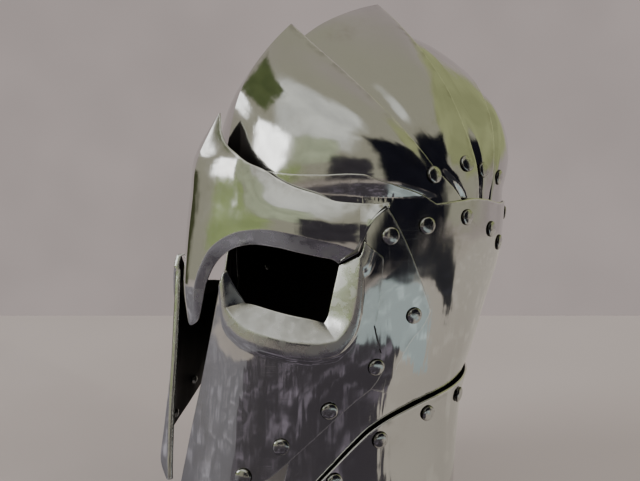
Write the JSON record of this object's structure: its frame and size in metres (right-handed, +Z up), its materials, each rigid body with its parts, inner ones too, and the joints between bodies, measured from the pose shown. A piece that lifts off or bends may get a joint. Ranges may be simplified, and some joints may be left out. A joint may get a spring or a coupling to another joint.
{
  "type": "war helm",
  "caption": "Open-faced war helm of riveted steel plates with a fanned skull, keeled brow and nose guard, long cheek plates and a neck lame.",
  "frame": {"origin": "centre of the bounding box's floor, on the level lower edge of the neck lame", "axes": "+Z up, the face looks along -Y, +X to the wearer's left"},
  "size_m": [0.2026, 0.2562, 0.36],
  "materials": {
    "plate_steel": "mirror-polished steel plate",
    "rivet_steel": "polished steel rivet head"
  },
  "bodies": {
    "root": {"skull_front": "plate_steel", "skull_crown": "plate_steel", "skull_rear": "plate_steel", "skull_back": "plate_steel", "side_plate": "plate_steel", "neck_lame": "plate_steel", "brow_nasal": "plate_steel", "temple_plate_left": "plate_steel", "cheek_plate_left": "plate_steel", "temple_plate_right": "plate_steel", "cheek_plate_right": "plate_steel", "rivet_front_left": "rivet_steel", "rivet_crown_left": "rivet_steel", "rivet_rear_left": "rivet_steel", "rivet_back_left": "rivet_steel", "rivet_side_a_left": "rivet_steel", "rivet_side_b_left": "rivet_steel", "rivet_side_c_left": "rivet_steel", "rivet_side_d_left": "rivet_steel", "rivet_side_e_left": "rivet_steel", "rivet_temple_a_left": "rivet_steel", "rivet_temple_b_left": "rivet_steel", "rivet_cheek_a_left": "rivet_steel", "rivet_cheek_b_left": "rivet_steel", "rivet_cheek_c_left": "rivet_steel", "rivet_cheek_d_left": "rivet_steel", "rivet_neck_a_left": "rivet_steel", "rivet_neck_b_left": "rivet_steel", "rivet_neck_c_left": "rivet_steel", "rivet_neck_d_left": "rivet_steel", "rivet_neck_e_left": "rivet_steel", "rivet_front_right": "rivet_steel", "rivet_crown_right": "rivet_steel", "rivet_rear_right": "rivet_steel", "rivet_back_right": "rivet_steel", "rivet_side_a_right": "rivet_steel", "rivet_side_b_right": "rivet_steel", "rivet_side_c_right": "rivet_steel", "rivet_side_d_right": "rivet_steel", "rivet_side_e_right": "rivet_steel", "rivet_temple_a_right": "rivet_steel", "rivet_temple_b_right": "rivet_steel", "rivet_cheek_a_right": "rivet_steel", "rivet_cheek_b_right": "rivet_steel", "rivet_cheek_c_right": "rivet_steel", "rivet_cheek_d_right": "rivet_steel", "rivet_neck_a_right": "rivet_steel", "rivet_neck_b_right": "rivet_steel", "rivet_neck_c_right": "rivet_steel", "rivet_neck_d_right": "rivet_steel", "rivet_neck_e_right": "rivet_steel"}
  },
  "joints": []
}
